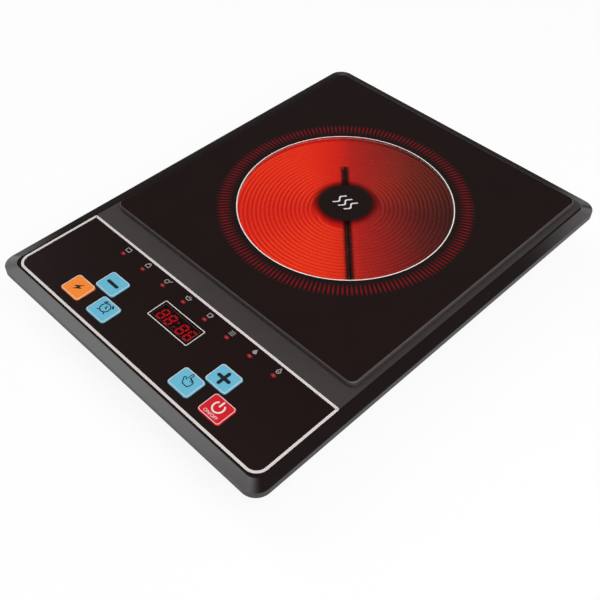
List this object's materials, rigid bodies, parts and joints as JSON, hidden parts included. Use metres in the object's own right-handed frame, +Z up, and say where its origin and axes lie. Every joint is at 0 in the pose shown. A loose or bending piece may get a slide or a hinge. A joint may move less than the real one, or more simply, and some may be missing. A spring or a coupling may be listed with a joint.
{
  "type": "hot plate burner",
  "caption": "Slim single-zone infrared hot plate with a black glass top over a coiled radiant heater, a sloping tray base and a front panel of coloured keys with a display.",
  "frame": {"origin": "on the table under the middle of the body, where the feet stand", "axes": "+X to the user's right, +Y to the back, +Z up"},
  "size_m": [0.28, 0.37, 0.0584],
  "materials": {
    "housing_plastic": "satin moulded",
    "base_plastic": "fine spark texture",
    "rubber_black": "matte",
    "screw_steel": "zinc plated",
    "black_glass": "polished",
    "seal_silicone": "matte",
    "panel_film": "printed film",
    "smoked_window": "smoked",
    "indicator_red": "clear red",
    "key_blue": "printed",
    "key_orange": "printed",
    "key_red": "printed",
    "switch_black": "moulded",
    "circuit_board": "solder mask",
    "display_plastic": "moulded",
    "led_red": "clear",
    "pan_steel": "aluminised sheet",
    "fibre_board": "pressed ceramic fibre",
    "coil_alloy": "oxidised strip, glowing",
    "rod_quartz": "fused quartz sleeve",
    "steatite": "fired",
    "terminal_brass": "plated",
    "sink_aluminium": "extruded",
    "device_black": "moulded epoxy",
    "capacitor_yellow": "cast case",
    "core_ferrite": "sintered core with taped winding",
    "relay_blue": "moulded",
    "block_green": "moulded",
    "cable_grey": "flat cable and sockets",
    "lead_sleeve": "glass fibre sleeve",
    "fan_plastic": "moulded",
    "stator_steel": "laminated core with winding"
  },
  "bodies": {
    "housing": {"upper_housing": "housing_plastic", "base_tray": "base_plastic", "rubber_feet": "rubber_black", "cord_gland": "rubber_black", "housing_screws": "screw_steel", "board_screws": "screw_steel", "spring_screws": "screw_steel", "power_screws": "screw_steel", "fan_screws": "screw_steel", "glass_plate": "black_glass", "glass_seal": "seal_silicone", "panel_overlay": "panel_film", "display_window": "smoked_window", "indicator_lenses": "indicator_red", "key_switches": "switch_black", "control_board": "circuit_board", "power_board": "circuit_board", "display_module": "display_plastic", "indicator_leds": "led_red", "heater_pan": "pan_steel", "heater_springs": "pan_steel", "heater_insulation": "fibre_board", "insulation_ring": "fibre_board", "heating_coil": "coil_alloy", "limiter_rod": "rod_quartz", "limiter_housing": "steatite", "terminal_insulator": "steatite", "coil_terminals": "terminal_brass", "limiter_terminals": "terminal_brass", "heat_sink": "sink_aluminium", "triac": "device_black", "filter_capacitor": "capacitor_yellow", "transformer": "core_ferrite", "relay": "relay_blue", "terminal_block": "block_green", "ribbon_cable": "cable_grey", "ribbon_connectors": "cable_grey", "heater_leads": "lead_sleeve", "fan_frame": "fan_plastic", "fan_stator": "stator_steel"},
    "minus_key": {"key_minus": "key_blue", "plunger_minus": "switch_black"},
    "plus_key": {"key_plus": "key_blue", "plunger_plus": "switch_black"},
    "boost_key": {"key_boost": "key_orange", "plunger_boost": "switch_black"},
    "timer_key": {"key_timer": "key_blue", "plunger_timer": "switch_black"},
    "function_key": {"key_function": "key_blue", "plunger_function": "switch_black"},
    "power_key": {"key_power": "key_red", "plunger_power": "switch_black"},
    "fan": {"fan_rotor": "fan_plastic"}
  },
  "joints": [
    {"name": "minus_press", "type": "slide", "parent": "housing", "child": "minus_key", "axis": [0, 0, -1], "range_m": [0, 0.0005], "stiffness_N_per_m": 600, "springref_m": -0.001},
    {"name": "plus_press", "type": "slide", "parent": "housing", "child": "plus_key", "axis": [0, 0, -1], "range_m": [0, 0.0005], "stiffness_N_per_m": 600, "springref_m": -0.001},
    {"name": "boost_press", "type": "slide", "parent": "housing", "child": "boost_key", "axis": [0, 0, -1], "range_m": [0, 0.0005], "stiffness_N_per_m": 600, "springref_m": -0.001},
    {"name": "timer_press", "type": "slide", "parent": "housing", "child": "timer_key", "axis": [0, 0, -1], "range_m": [0, 0.0005], "stiffness_N_per_m": 600, "springref_m": -0.001},
    {"name": "function_press", "type": "slide", "parent": "housing", "child": "function_key", "axis": [0, 0, -1], "range_m": [0, 0.0005], "stiffness_N_per_m": 600, "springref_m": -0.001},
    {"name": "power_press", "type": "slide", "parent": "housing", "child": "power_key", "axis": [0, 0, -1], "range_m": [0, 0.0005], "stiffness_N_per_m": 600, "springref_m": -0.001},
    {"name": "fan_spin", "type": "hinge", "parent": "housing", "child": "fan", "pos_m": [0.063, -0.098, 0.019], "axis": [0, 0, 1], "continuous": true}
  ]
}
